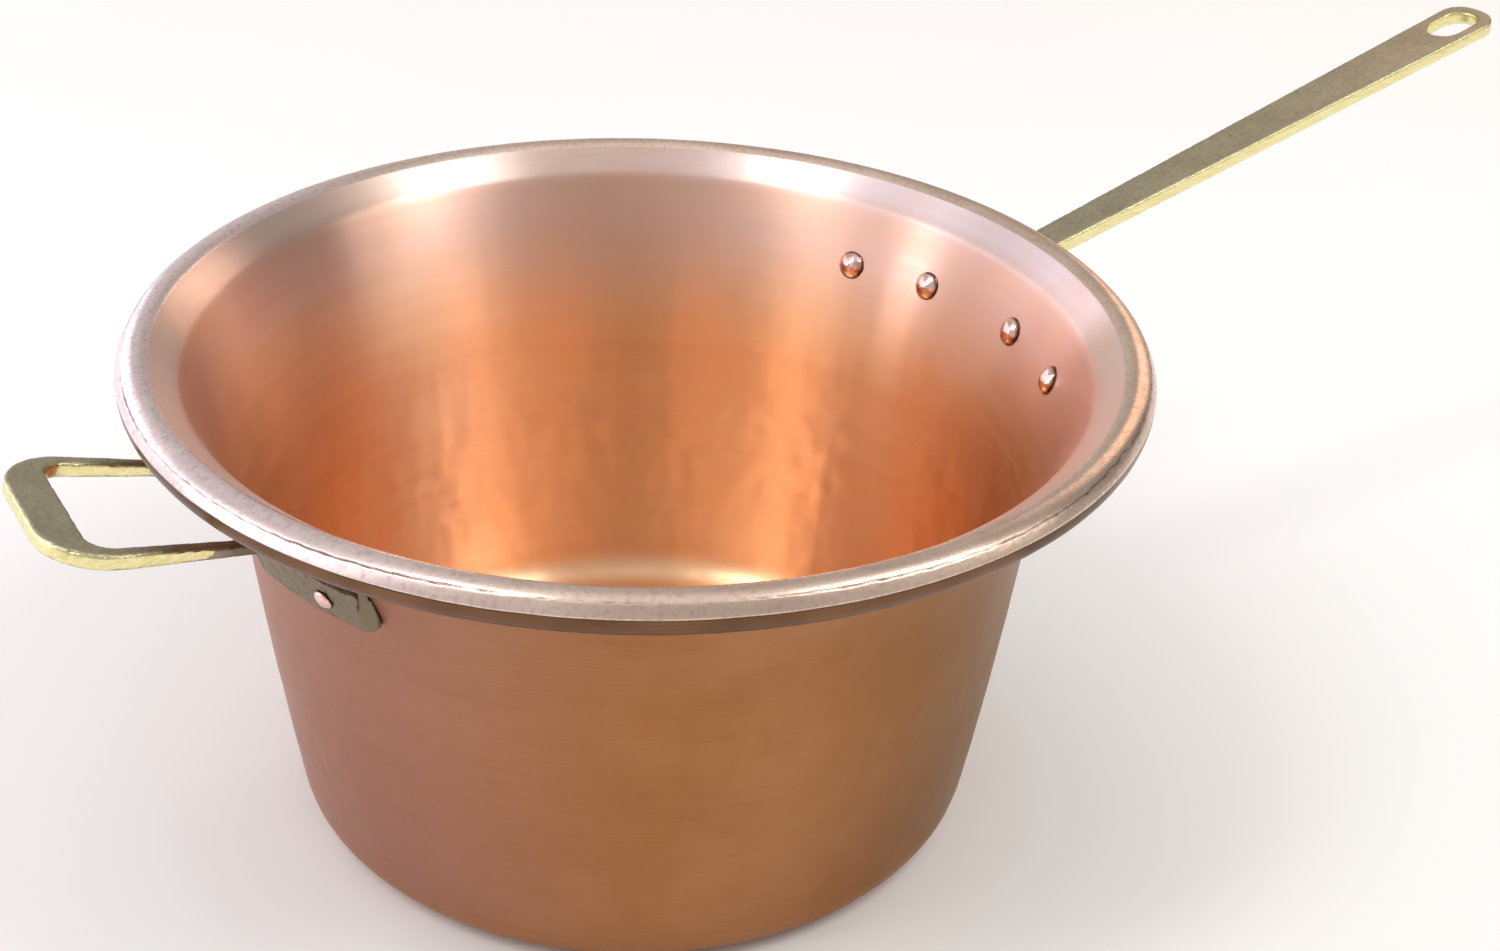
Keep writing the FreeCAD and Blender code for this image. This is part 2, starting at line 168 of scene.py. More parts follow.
def leaning_arc(centre, radius, lean_from, lean_to, side, step):
    count = max(2, int(radius * math.radians(abs(lean_to - lean_from)) / step))
    leans = np.linspace(lean_from, lean_to, count + 1)
    return [centre + outward(a) * radius * side for a in leans]


def straight(start, end, step):
    count = max(1, int(np.linalg.norm(end - start) / step))
    return [start + (end - start) * t for t in np.linspace(0, 1, count + 1)]


def sheet_side(inset, step):
    """One side of the sheet from the axis out to where the lip meets the bead."""
    base = straight(np.array([0.0, inset]), np.array([BASE_FLAT_RADIUS, inset]), 4 * step)
    corner = leaning_arc(CORNER_CENTRE, BASE_CORNER_RADIUS - inset, 90, WALL_LEAN_BOTTOM, 1, step)
    wall = leaning_arc(WALL_CENTRE, WALL_ARC_RADIUS - inset, WALL_LEAN_BOTTOM, WALL_LEAN_TOP, 1, step)
    flare = leaning_arc(FLARE_CENTRE, FLARE_RADIUS + inset, WALL_LEAN_TOP, CREASE_LEAN, -1, step)
    bend = leaning_arc(CREASE_CENTRE, CREASE_RADIUS + inset, CREASE_LEAN, LIP_LEAN, -1, step / 3)
    lip_end = BEAD_CENTRE - outward(LIP_LEAN) * (ROLL_RADIUS + inset)
    lip = straight(bend[-1], lip_end, step)
    points = []
    for run in (base, corner, wall, flare, bend, lip):
        points += run if not points else run[1:]
    return points


def roll_point(radius, degrees):
    angle = math.radians(degrees)
    return BEAD_CENTRE + radius * np.array([math.cos(angle), math.sin(angle)])


def build_object(name, vertices, faces, materials, face_material=None):
    mesh = bpy.data.meshes.new(name)
    mesh.from_pydata([tuple(v) for v in vertices], [], faces)
    mesh.update()
    for material in materials:
        mesh.materials.append(material)
    if face_material is not None:
        mesh.polygons.foreach_set("material_index", face_material)
    mesh.polygons.foreach_set("use_smooth", [True] * len(mesh.polygons))
    piece = bpy.data.objects.new(name, mesh)
    bpy.context.scene.collection.objects.link(piece)
    return piece


def ring_noise(azimuth, height, around, upward, seed):
    """Smooth noise on the wall: larger around and upward give finer features that way."""
    place = (math.cos(azimuth) * around, math.sin(azimuth) * around, height * upward + seed)
    return noise.noise(place)


def wall_dent(azimuth, radius, height):
    """Gentle unevenness of the hand-finished wall in millimetres; the sheet's two sides move together."""
    if radius < BASE_FLAT_RADIUS * 0.5:
        return 0.0
    panels = PANEL_DEPTH * ring_noise(azimuth, height, 5.0, 0.012, 3.1)
    low = math.exp(-((height - LOW_MARKS_HEIGHT) / LOW_MARKS_SPREAD) ** 2)
    marks = low * LOW_MARK_DEPTH * ring_noise(azimuth, height, 15.0, 0.13, 17.0)
    flutes = FLUTE_DEPTH * ring_noise(azimuth, height, 22.0, 0.01, 41.0)
    fade = min(1.0, height / DENTS_RISE_OVER)
    return (panels + marks + flutes) * fade


def turn_noise(azimuth, around, seed):
    """Noise that closes on itself round the rim; a larger around gives more, shorter features."""
    return noise.noise((math.cos(azimuth) * around, math.sin(azimuth) * around, seed))


def crack_angle(azimuth):
    """Where on the bead's section the ragged seam runs, in degrees above its equator."""
    wander = CRACK_WANDER * turn_noise(azimuth, 1.6, 7.7)
    return CRACK_ANGLE + wander + CRACK_JITTER * turn_noise(azimuth, 34.0, 2.2)


def crack_depth(azimuth, degrees):
    """The seam's depth, 0 to 1; it fades out along parts of the rim."""
    strength = 0.50 + 1.2 * turn_noise(azimuth, 3.0, 5.0) + 0.5 * turn_noise(azimuth, 60.0, 4.0)
    width = CRACK_WIDTH * (1.0 + 0.5 * turn_noise(azimuth, 50.0, 1.2))
    return min(1.0, max(0.0, strength)) * math.exp(-((degrees - crack_angle(azimuth)) / width) ** 2)


def arris_line(azimuth, degrees):
    """The thin dark line under the hammered band, 0 to 1: painted shade under the arris's edge."""
    edge = ARRIS_ANGLE + ARRIS_JITTER * turn_noise(azimuth, 20.0, 6.1)
    strength = 0.75 + 0.5 * turn_noise(azimuth, 12.0, 8.8)
    return strength * math.exp(-((degrees - edge + ARRIS_BELOW) / ARRIS_WIDTH) ** 2)


def bead_dent(azimuth, degrees):
    """How far the hammered and filed bead falls inside its round section, in millimetres."""
    crack_at = crack_angle(azimuth)
    depth = CRACK_DEPTH * crack_depth(azimuth, degrees) + ARRIS_DEPTH * arris_line(azimuth, degrees)
    if ARRIS_ANGLE < degrees < crack_at:
        t = (degrees - ARRIS_ANGLE) / (crack_at - ARRIS_ANGLE)
        pits = noise.noise((math.cos(azimuth) * 120, math.sin(azimuth) * 120, degrees * 0.10))
        depth += (HAMMERED_DEPTH + PIT_DEPTH * pits) * math.sin(math.pi * t)
    elif degrees >= crack_at:
        depth += WAVE_DEPTH * (1 + turn_noise(azimuth, 14.0, 1.0))
    else:
        depth += UNDER_DEPTH * min(1.0, (ARRIS_ANGLE - degrees) / UNDER_OVER)
        depth += WAVE_DEPTH * (1 + turn_noise(azimuth, 20.0, 9.0))
    return depth


def pan_section():
    """The sheet's closed outline: (point, kind, degrees round the bead) for each step."""
    bead_angles = np.concatenate([
        np.arange(90 + LIP_SLOPE - 4, 72, -4.0), np.arange(72, -10, -1.5), np.arange(-10, -60, -4.0),
        np.arange(-60, ROLL_END, -10.0), [ROLL_END]])
    inner_angles = np.linspace(ROLL_END, 90 + LIP_SLOPE, 14)
    inside = [(p, "in", 0.0) for p in sheet_side(SHEET, INSIDE_STEP)]
    roll_out = [(roll_point(BEAD_RADIUS, a), "roll", a) for a in bead_angles]
    roll_in = [(roll_point(ROLL_RADIUS, a), "hidden", a) for a in inner_angles]
    outside = [(p, "out", 0.0) for p in reversed(sheet_side(0.0, OUTSIDE_STEP)[:-1])]
    return inside + roll_out + roll_in + outside


def dented(azimuth, radius, height, kind, degrees):
    """Where a point of the section ends up once the dents have moved it, in millimetres."""
    if kind in ("in", "out"):
        fade = 1.0 - min(1.0, max(0.0, (radius - DENTS_FADE_FROM) / DENTS_FADE_OVER))
        return radius + wall_dent(azimuth, radius, height) * fade, height
    if kind == "hidden":
        return radius, height
    dent = bead_dent(azimuth, degrees) * min(1.0, max(0.0, (BEAD_DENT_TOP - degrees) / BEAD_DENT_FADE))
    if degrees < BEAD_UNDER_FROM:
        dent *= max(0.0, 1 + (degrees - BEAD_UNDER_FROM) / BEAD_UNDER_FADE)
    angle = math.radians(degrees)
    return radius - dent * math.cos(angle), height - dent * math.sin(angle)


def pan_rings(section):
    """Vertices in metres, the darkness of the seam and of the painted shade under the arris at each, and
    their indices ring by ring.
    """
    azimuths = np.linspace(0, 2 * math.pi, SEGMENTS, endpoint=False)
    vertices, seam_and_arris_shade, rings = [], [], []
    for (radius, height), kind, degrees in section:
        if radius < ON_AXIS:
            rings.append([len(vertices)])
            vertices.append((0.0, 0.0, height * MM))
            seam_and_arris_shade.append(0.0)
            continue
        first = len(vertices)
        for azimuth in azimuths:
            seam = 0.0
            if kind == "roll":
                # the darker of the seam's own dark and the painted shade under the arris
                seam = max(crack_depth(azimuth, degrees), arris_line(azimuth, degrees))
            seam_and_arris_shade.append(min(1.0, seam))
            r, z = dented(azimuth, radius, height, kind, degrees)
            vertices.append((r * math.cos(azimuth) * MM, r * math.sin(azimuth) * MM, z * MM))
        rings.append(list(range(first, len(vertices))))
    return vertices, seam_and_arris_shade, rings


def pan_zone(start, end):
    """Which material covers the strip between two steps of the section."""
    kinds = (start[1], end[1])
    if kinds == ("in", "in"):
        return INSIDE_ZONE
    if "roll" in kinds and "hidden" not in kinds:
        return BEAD_TOP_ZONE if end[2] > BEAD_TOP_FROM else BEAD_UNDER_ZONE
    return OUTSIDE_ZONE


def strip_faces(near, far):
    """The faces between two neighbouring rings; a ring of one vertex is a pole."""
    turn = [(i, (i + 1) % SEGMENTS) for i in range(SEGMENTS)]
    if len(near) == 1:
        return [(near[0], far[i], far[j]) for i, j in turn]
    if len(far) == 1:
        return [(near[i], far[0], near[j]) for i, j in turn]
    return [(near[i], far[i], far[j], near[j]) for i, j in turn]


def pan_piece(materials):
    """The whole sheet as one closed surface of revolution, with dents."""
    section = pan_section()
    vertices, seam_and_arris_shade, rings = pan_rings(section)
    faces, zones = [], []
    for start, end, near, far in zip(section, section[1:], rings, rings[1:]):
        strip = strip_faces(near, far)
        faces += strip
        zones += [pan_zone(start, end)] * len(strip)
    piece = build_object("copper_pan", vertices, faces, materials, zones)
    # the seam's dark and the painted shade under the arris, for the bead's materials
    attribute = piece.data.attributes.new("seam_and_arris_shade", "FLOAT", "POINT")
    attribute.data.foreach_set("value", seam_and_arris_shade)
    return piece


# ------------------------------------------------------------------ materials
ACROSS_THE_LINES = 0.25     # of a turn
LOOP_SIDE, HANDLE_SIDE = 165, -20       # azimuths in degrees, about where the two handles stand


class Paint:
    """A small helper that builds one metal material out of nodes."""

    def __init__(self, name):
        self.material = bpy.data.materials.new(name)
        self.material.use_nodes = True
        self.tree = self.material.node_tree
        self.shader = self.tree.nodes["Principled BSDF"]
        self.place = self.node("ShaderNodeTexCoord").outputs["Object"]

    def node(self, kind, **settings):
        made = self.tree.nodes.new(kind)
        for key, value in settings.items():
            setattr(made, key, value)
        return made

    def feed(self, socket, value):
        if isinstance(value, bpy.types.NodeSocket):
            self.tree.links.new(value, socket)
        else:
            socket.default_value = value

    def maths(self, operation, *values):
        made = self.node("ShaderNodeMath", operation=operation)
        for socket, value in zip(made.inputs, values):
            self.feed(socket, value)
        return made.outputs[0]

    def vector(self, operation, *values):
        made = self.node("ShaderNodeVectorMath", operation=operation)
        for socket, value in zip(made.inputs, values):
            self.feed(socket, value)
        return made.outputs["Value"] if operation in ("LENGTH", "DOT_PRODUCT") else made.outputs[0]

    def combine(self, x, y, z):
        made = self.node("ShaderNodeCombineXYZ")
        for socket, value in zip(made.inputs, (x, y, z)):
            self.feed(socket, value)
        return made.outputs[0]

    def split(self, vector):
        made = self.node("ShaderNodeSeparateXYZ")
        self.feed(made.inputs[0], vector)
        return made.outputs

    def noise(self, vector, scale, detail, rough, distortion=0.0):
        made = self.node("ShaderNodeTexNoise")
        self.feed(made.inputs["Vector"], vector)
        settings = {"Scale": scale, "Detail": detail, "Roughness": rough, "Distortion": distortion}
        for key, value in settings.items():
            made.inputs[key].default_value = value
        return made.outputs["Fac"]

    def cells(self, vector, scale):
        made = self.node("ShaderNodeTexVoronoi")
        self.feed(made.inputs["Vector"], vector)
        made.inputs["Scale"].default_value = scale
        return made.outputs["Distance"]

    def spread(self, value, low, high, to_low=0.0, to_high=1.0, smooth=True):
        made = self.node("ShaderNodeMapRange", interpolation_type="SMOOTHSTEP" if smooth else "LINEAR")
        for socket, number in zip(made.inputs, (value, low, high, to_low, to_high)):
            self.feed(socket, number)
        return made.outputs[0]

    def blend(self, factor, first, second):
        made = self.node("ShaderNodeMix", data_type="RGBA")
        self.feed(made.inputs["Factor"], factor)
        for name, value in (("A", first), ("B", second)):
            socket = [s for s in made.inputs if s.name == name and s.type == "RGBA"][0]
            self.feed(socket, value if isinstance(value, bpy.types.NodeSocket) else (*value, 1.0))
        return [s for s in made.outputs if s.type == "RGBA"][0]

    def bump(self, height, strength, distance, normal=None):
        made = self.node("ShaderNodeBump")
        made.inputs["Strength"].default_value = strength
        made.inputs["Distance"].default_value = distance
        self.feed(made.inputs["Height"], height)
        if normal is not None:
            self.feed(made.inputs["Normal"], normal)
        return made.outputs[0]

    def height(self):
        return self.split(self.place)[2]

    def from_axis(self):
        """The vector from the pan's axis, level with the point."""
        x, y, _ = self.split(self.place)
        return self.combine(x, y, 0.0)

    def share(self, amount, value, low, high):
        """Up to amount of a blend, as value goes from low to high."""
        return self.maths("MULTIPLY", self.spread(value, low, high), amount)

    def attribute(self, name):
        return self.node("ShaderNodeAttribute", attribute_name=name).outputs["Fac"]

    def brushing(self, along, across):
        """A vector for lines that run round the pan's axis: stretched along, fine across."""
        flat = self.from_axis()
        radius = self.vector("LENGTH", flat)
        around = self.vector("NORMALIZE", flat)
        cos_a, sin_a, _ = self.split(self.vector("MULTIPLY", around, (along, along, along)))
        slope = self.maths("MULTIPLY", self.maths("SUBTRACT", self.height(), radius), across)
        return self.combine(cos_a, sin_a, slope)

    def finish(self, color, roughness, normal=None, metallic=1.0):
        inputs = self.shader.inputs
        self.feed(inputs["Base Color"], color)
        self.feed(inputs["Roughness"], roughness)
        inputs["Metallic"].default_value = metallic
        if normal is not None:
            self.feed(inputs["Normal"], normal)
        return self.material

    def spun(self, anisotropic):
        """Stretches the highlights across the brushing lines, which run round the axis."""
        inputs = self.shader.inputs
        inputs["Anisotropic"].default_value = anisotropic
        inputs["Anisotropic Rotation"].default_value = ACROSS_THE_LINES
        tangent = self.node("ShaderNodeTangent", direction_type="RADIAL", axis="Z")
        self.feed(inputs["Tangent"], tangent.outputs[0])
        return self


def round_from(paint, azimuth, start, full):
    """0 to 1 as the wall's direction from the axis nears the given azimuth; start and full are cosines."""
    angle = math.radians(azimuth)
    around = paint.vector("NORMALIZE", paint.from_axis())
    near = paint.vector("DOT_PRODUCT", around, (math.cos(angle), math.sin(angle), 0.0))
    return paint.spread(near, start, full)


def copper_inside():
    """Bright spun copper: warm low down, with painted reflections making it pinker towards the mouth and pale
    on the lip, and painted light making it redder on the loop handle's side under the lip.
    """
    paint = Paint("copper_spun_inside")
    fine = paint.noise(paint.brushing(1.6, 2400.0), 1.0, 3.0, 0.55)
    broad = paint.noise(paint.brushing(1.0, 260.0), 1.0, 2.0, 0.5)
    cloud = paint.noise(paint.place, 22.0, 4.0, 0.6)
    height = paint.height()

    golden, pink_reflection, red_painted_light = (0.90, 0.56, 0.325), (0.76, 0.51, 0.43), (1.0, 0.69, 0.48)
    # painted reflection: the wall is coloured pinker towards the mouth
    base = paint.blend(paint.spread(height, 0.095, 0.135), golden, pink_reflection)
    # painted light: under the lip the wall is coloured redder and brighter round the loop handle's side
    below_lip = paint.spread(height, 0.14, 0.10)
    base = paint.blend(paint.maths("MULTIPLY", round_from(paint, LOOP_SIDE, -0.1, 0.6), below_lip), base, red_painted_light)
    # painted reflection: the lip is coloured pale beige, tinted lilac round towards azimuth 15
    beige_lip_reflection, lilac_lip_reflection = (0.92, 0.75, 0.69), (1.0, 0.86, 0.90)
    lip = paint.blend(round_from(paint, 15, 0.5, 0.95), beige_lip_reflection, lilac_lip_reflection)
    base = paint.blend(paint.spread(height, 0.143, 0.150), base, lip)

    tarnish, streak, scratch = (0.84, 0.49, 0.30), (0.80, 0.46, 0.29), (0.66, 0.38, 0.27)
    base = paint.blend(paint.share(0.35, cloud, 0.4, 0.75), base, tarnish)
    base = paint.blend(paint.share(0.2, broad, 0.35, 0.7), base, streak)
    base = paint.blend(paint.share(0.12, fine, 0.4, 0.8), base, scratch)

    cloudy = paint.spread(cloud, 0.3, 0.7, 0.31, 0.38)
    rough = paint.maths("ADD", cloudy, paint.spread(fine, 0.3, 0.7, -0.015, 0.02))
    marks = paint.maths("MULTIPLY", paint.cells(paint.place, 60.0), paint.spread(height, 0.09, 0.05))
    normal = paint.bump(fine, 0.025, 0.0004)
    normal = paint.bump(marks, 0.03, 0.004, normal)
    return paint.spun(0.92).finish(base, rough, normal)


def copper_bead_top():
    """The hammered and filed top of the bead, pale where hands and cloths rub it, with a painted lilac
    reflection round towards azimuth 160.
    """
    paint = Paint("copper_bead_top")
    fine = paint.noise(paint.brushing(3.0, 2400.0), 1.0, 3.0, 0.6)
    grain = paint.noise(paint.place, 620.0, 3.0, 0.7)
    cloud = paint.noise(paint.place, 40.0, 3.0, 0.5)

    light, brown, lilac = (0.84, 0.65, 0.53), (0.74, 0.55, 0.44), (0.92, 0.76, 0.76)
    pitted, seam = (0.42, 0.29, 0.23), (0.14, 0.08, 0.06)
    base = paint.blend(paint.spread(cloud, 0.3, 0.7), light, brown)
    # painted reflection: tinted lilac round towards azimuth 160
    base = paint.blend(round_from(paint, 160, 0.1, 0.9), base, lilac)
    base = paint.blend(paint.share(0.45, grain, 0.45, 0.7), base, pitted)
    # darkens the ragged seam, and paints shade in the line under the arris
    base = paint.blend(paint.attribute("seam_and_arris_shade"), base, seam)

    rough = paint.spread(grain, 0.3, 0.7, 0.24, 0.32)
    normal = paint.bump(paint.maths("ADD", fine, grain), 0.035, 0.0004)
    return paint.spun(0.35).finish(base, rough, normal)


def copper_bead_under_painted_shade():
    """The bead's underside, coloured dark brown as painted shade."""
    paint = Paint("copper_bead_under_painted_shade")
    fine = paint.noise(paint.brushing(3.0, 2200.0), 1.0, 3.0, 0.6)
    cloud = paint.noise(paint.place, 30.0, 3.0, 0.5)

    # painted shade: the downward-facing underside is coloured in dark browns
    brown, dark = (0.21, 0.108, 0.058), (0.12, 0.062, 0.032)
    scratch, seam = (0.12, 0.055, 0.03), (0.05, 0.028, 0.02)
    base = paint.blend(paint.spread(cloud, 0.3, 0.7), brown, dark)
    base = paint.blend(paint.share(0.25, fine, 0.4, 0.75), base, scratch)
    # here this only paints the line under the arris: painted shade
    base = paint.blend(paint.attribute("seam_and_arris_shade"), base, seam)

    rough = paint.spread(cloud, 0.3, 0.7, 0.30, 0.38)
    return paint.spun(0.3).finish(base, rough, paint.bump(fine, 0.03, 0.0004))


def copper_outside():
    """Satin copper, with painted reflections making it rosier on the loop handle's side and more olive on the
    long handle's.
    """
    paint = Paint("copper_satin_outside")
    fine = paint.noise(paint.brushing(2.0, 2000.0), 1.0, 4.0, 0.6)
    broad = paint.noise(paint.brushing(1.0, 160.0), 1.0, 2.0, 0.5)
    cloud = paint.noise(paint.place, 16.0, 4.0, 0.6)
    scuff = paint.noise(paint.place, 120.0, 5.0, 0.7, 0.4)

    light, deep = (0.43, 0.195, 0.082), (0.39, 0.168, 0.062)
    # painted reflections: rosier round the loop handle's side, more olive round the long handle's
    rosy_reflection, olive = (0.40, 0.19, 0.135), (0.235, 0.118, 0.034)
    base = paint.blend(paint.spread(cloud, 0.35, 0.65), light, deep)
    above_base = paint.spread(paint.height(), 0.002, 0.016)
    loop_side_reflection = paint.maths("MULTIPLY", round_from(paint, LOOP_SIDE, 0.25, 0.95), above_base)
    handle_side_reflection = paint.maths("MULTIPLY", round_from(paint, HANDLE_SIDE, 0.10, 0.95), above_base)
    base = paint.blend(loop_side_reflection, base, rosy_reflection)
    base = paint.blend(handle_side_reflection, base, olive)

    streak, scratch, scuffed = (0.36, 0.155, 0.06), (0.27, 0.11, 0.045), (0.50, 0.26, 0.15)
    base = paint.blend(paint.share(0.15, broad, 0.4, 0.7), base, streak)
    base = paint.blend(paint.share(0.2, fine, 0.4, 0.75), base, scratch)
    base = paint.blend(paint.share(0.25, scuff, 0.62, 0.75), base, scuffed)

    cloudy = paint.spread(cloud, 0.3, 0.7, 0.40, 0.48)
    rough = paint.maths("ADD", cloudy, paint.spread(scuff, 0.4, 0.8, 0.0, 0.06))
    return paint.spun(0.35).finish(base, rough, paint.bump(fine, 0.06, 0.0004))


def rivet_copper():
    """Hammered copper: bright on top, with painted shade darkening the steep edge round each head."""
    paint = Paint("copper_rivet")
    cloud = paint.noise(paint.place, 330.0, 3.0, 0.6)
    grain = paint.noise(paint.place, 1500.0, 2.0, 0.6)

    bright, dull, painted_edge_shade = (0.90, 0.66, 0.60), (0.74, 0.46, 0.38), (0.17, 0.06, 0.04)
    base = paint.blend(paint.spread(cloud, 0.3, 0.7), bright, dull)
    # painted shade: the steep edge round each head is coloured dark
    base = paint.blend(paint.spread(paint.attribute("flank"), 0.18, 0.55), base, painted_edge_shade)
    rough = paint.spread(grain, 0.3, 0.7, 0.12, 0.22)
    return paint.finish(base, rough, paint.bump(cloud, 0.45, 0.0008))


def cast_brass(name, along, patchy):
    """Sand-cast brass: dull grained faces, and flanks that were ground bright, with painted shade where a
    handle runs in under the pan's rim.

    along stretches the grinding lines; patchy is how much of the flanks the grinder missed.
    """
    paint = Paint(name)
    grain = paint.noise(paint.place, 700.0, 4.0, 0.6)
    cloud = paint.noise(paint.place, 60.0, 4.0, 0.6)
    lines = paint.noise(paint.vector("MULTIPLY", paint.place, along), 1.0, 3.0, 0.6)
    missed = paint.noise(paint.place, 95.0, 3.0, 0.6)
    reach = paint.vector("LENGTH", paint.from_axis())

    # painted shade: nearer the pan's axis than the rim, the flanks are kept dull
    ground = paint.maths("MULTIPLY", paint.attribute("flank"), paint.spread(reach, 0.132, 0.152))
    ground = paint.maths("ADD", ground, paint.spread(grain, 0.2, 0.8, -0.22, 0.22))
    ground = paint.maths("SUBTRACT", ground, paint.spread(missed, 0.56, 0.70, 0.0, patchy))
    ground = paint.spread(ground, 0.42, 0.58)

    grey, tan = (0.38, 0.335, 0.23), (0.46, 0.41, 0.285)
    pitted, shaded_under_rim = (0.22, 0.19, 0.13), (0.235, 0.185, 0.13)
    dull = paint.blend(paint.spread(cloud, 0.3, 0.7), grey, tan)
    dull = paint.blend(paint.share(0.55, grain, 0.45, 0.75), dull, pitted)
    # painted shade: nearer the pan's axis, under the rim, the dull brass is coloured darker
    dull = paint.blend(paint.spread(reach, 0.134, 0.146), shaded_under_rim, dull)
    yellow, deep_yellow = (0.90, 0.82, 0.46), (0.74, 0.66, 0.30)
    bright = paint.blend(paint.spread(lines, 0.3, 0.7), yellow, deep_yellow)

    rough = paint.spread(ground, 0.0, 1.0, 0.46, 0.24, smooth=False)
    return paint.finish(paint.blend(ground, dull, bright), rough, paint.bump(grain, 0.35, 0.0006))


def iron_wire():
    paint = Paint("iron_wire")
    cloud = paint.noise(paint.place, 200.0, 4.0, 0.6)
    grey, dark = (0.20, 0.19, 0.18), (0.11, 0.10, 0.09)
    base = paint.blend(paint.spread(cloud, 0.3, 0.7), grey, dark)
    return paint.finish(base, paint.spread(cloud, 0.3, 0.7, 0.4, 0.6), paint.bump(cloud, 0.2, 0.0004))


# ------------------------------------------------------------------ cast handles
def fine_skin(name, node, material, voxel):
    """A finely remeshed copy of a CAD node, with its vertices' places and normals."""
    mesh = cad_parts[node].data.copy()
    mesh.name = name
    work = bmesh.new()
    work.from_mesh(mesh)
    bmesh.ops.remove_doubles(work, verts=work.verts, dist=WELD)
    work.to_mesh(mesh)
    work.free()
    mesh.materials.clear()
    piece = bpy.data.objects.new(name, mesh)
    bpy.context.scene.collection.objects.link(piece)
    remesh = piece.modifiers.new("fine_skin", "REMESH")
    remesh.mode = "VOXEL"
    remesh.voxel_size = voxel
    smooth = piece.modifiers.new("soften", "SMOOTH")
    smooth.factor = 0.5
    smooth.iterations = 2
    graph = bpy.context.evaluated_depsgraph_get()
    skin = bpy.data.meshes.new_from_object(piece.evaluated_get(graph))
    piece.modifiers.clear()
    piece.data = skin
    skin.materials.append(material)
    return piece, per_vertex(skin, "co"), per_vertex(skin, "normal")


def per_vertex(mesh, what):
    """A mesh's places or normals, one row each."""
    values = np.zeros(len(mesh.vertices) * 3)
    mesh.vertices.foreach_get(what, values)
    return values.reshape(-1, 3)


def steepness(normals, up):
    """0 on faces that look along up, 1 on faces that stand square to it."""
    facing_up = np.abs(normals @ np.array(up))
    return 1.0 - np.clip((facing_up - STEEP_BELOW) / FLAT_OVER, 0, 1)


def wear(piece, places, normals, depth, flank, node):
    """Sinks each vertex by its depth in millimetres, and puts the piece in place of its CAD node."""
    skin = piece.data
    places -= normals * depth[:, None] * MM
    skin.vertices.foreach_set("co", places.ravel())
    attribute = skin.attributes.new("flank", "FLOAT", "POINT")
    attribute.data.foreach_set("value", flank.astype(np.float32))
    skin.polygons.foreach_set("use_smooth", [True] * len(skin.polygons))
    skin.update()
    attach(piece, "root")
    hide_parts(node)


def sloping_up(azimuth, slope):
    """The direction a handle's flat face looks, for a handle that rises away from the pan."""
    back = -math.sin(slope)
    return (back * math.cos(azimuth), back * math.sin(azimuth), math.cos(slope))


def cast_piece(name, node, material, up, voxel, sand, chip):
    """A cast handle with a sandy skin and chipped edges; sand and chip are depths in millimetres."""
    piece, places, normals = fine_skin(name, node, material, voxel)
    flank = steepness(normals, up)
    depth = np.zeros(len(places))
    for i, place in enumerate(places):
        p = Vector(place)
        rough = 0.6 * noise.noise(p * 260.0) + 0.4 * noise.noise(p * 900.0)
        depth[i] = sand * (0.5 - (1 - 0.75 * flank[i]) * rough)
        chipped = max(0.0, noise.noise(p * 420.0 + Vector((3, 1, 7))))
        at_edge = 4 * flank[i] * (1 - flank[i])     # 1 halfway between face and flank, 0 on either
        depth[i] += chip * at_edge * chipped
    wear(piece, places, normals, depth, flank, node)


# ------------------------------------------------------------------ rivets
def rivet_piece(node, material, flush):
    """A rivet with the hammer's flats on its domed heads; flush sinks the inner one, in millimetres."""
    low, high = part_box(node)
    middle = (low + high) / 2
    lean = math.degrees(math.asin((middle.z / MM - FLARE_CENTRE[1]) / FLARE_RADIUS))
    across, rise = outward(lean)
    away = Vector((middle.x, middle.y, 0)).normalized()
    axis = away * across + Vector((0, 0, rise))
    piece, places, normals = fine_skin(node + "_dome", node, material, RIVET_VOXEL)
    flank = steepness(normals, axis)
    depth = np.array([RIVET_FLATS * abs(noise.noise(Vector(place) * 330.0)) for place in places])
    inner = (places - np.array(middle)) @ np.array(axis) < INNER_HEAD_FROM * MM
    places += np.outer(inner, axis) * flush * MM
    wear(piece, places, normals, depth, flank, node)


# ------------------------------------------------------------------ set
def floor_piece():
    vertices, faces = [(0, 0, 0)], []
    turn = [2 * math.pi * i / FLOOR_SEGMENTS for i in range(FLOOR_SEGMENTS)]
    for radius in FLOOR_RINGS:
        vertices += [(radius * math.cos(angle), radius * math.sin(angle), 0) for angle in turn]
    for i in range(FLOOR_SEGMENTS):
        j = (i + 1) % FLOOR_SEGMENTS
        faces.append((0, 1 + i, 1 + j))
        for ring in range(len(FLOOR_RINGS) - 1):
            inner, outer = 1 + ring * FLOOR_SEGMENTS, 1 + (ring + 1) * FLOOR_SEGMENTS
            faces.append((inner + i, outer + i, outer + j, inner + j))
    paint = Paint("pale_floor")
    cloud = paint.noise(paint.place, 2.0, 2.0, 0.5)
    white, off_white = (0.96, 0.96, 0.955), (0.94, 0.94, 0.935)
    base = paint.blend(paint.spread(cloud, 0.3, 0.7), white, off_white)
    floor = build_object("pale_floor", vertices, faces, [paint.finish(base, 0.8, metallic=0.0)])
    floor.location.z = -FLOOR_GAP


def from_camera_side(azimuth, elevation):
    """A direction, in degrees round from the camera's side of the pan and up from the floor."""
    around = VIEW_AZIMUTH + math.pi + math.radians(azimuth)
    up = math.radians(elevation)
    return Vector((math.cos(around) * math.cos(up), math.sin(around) * math.cos(up), math.sin(up)))


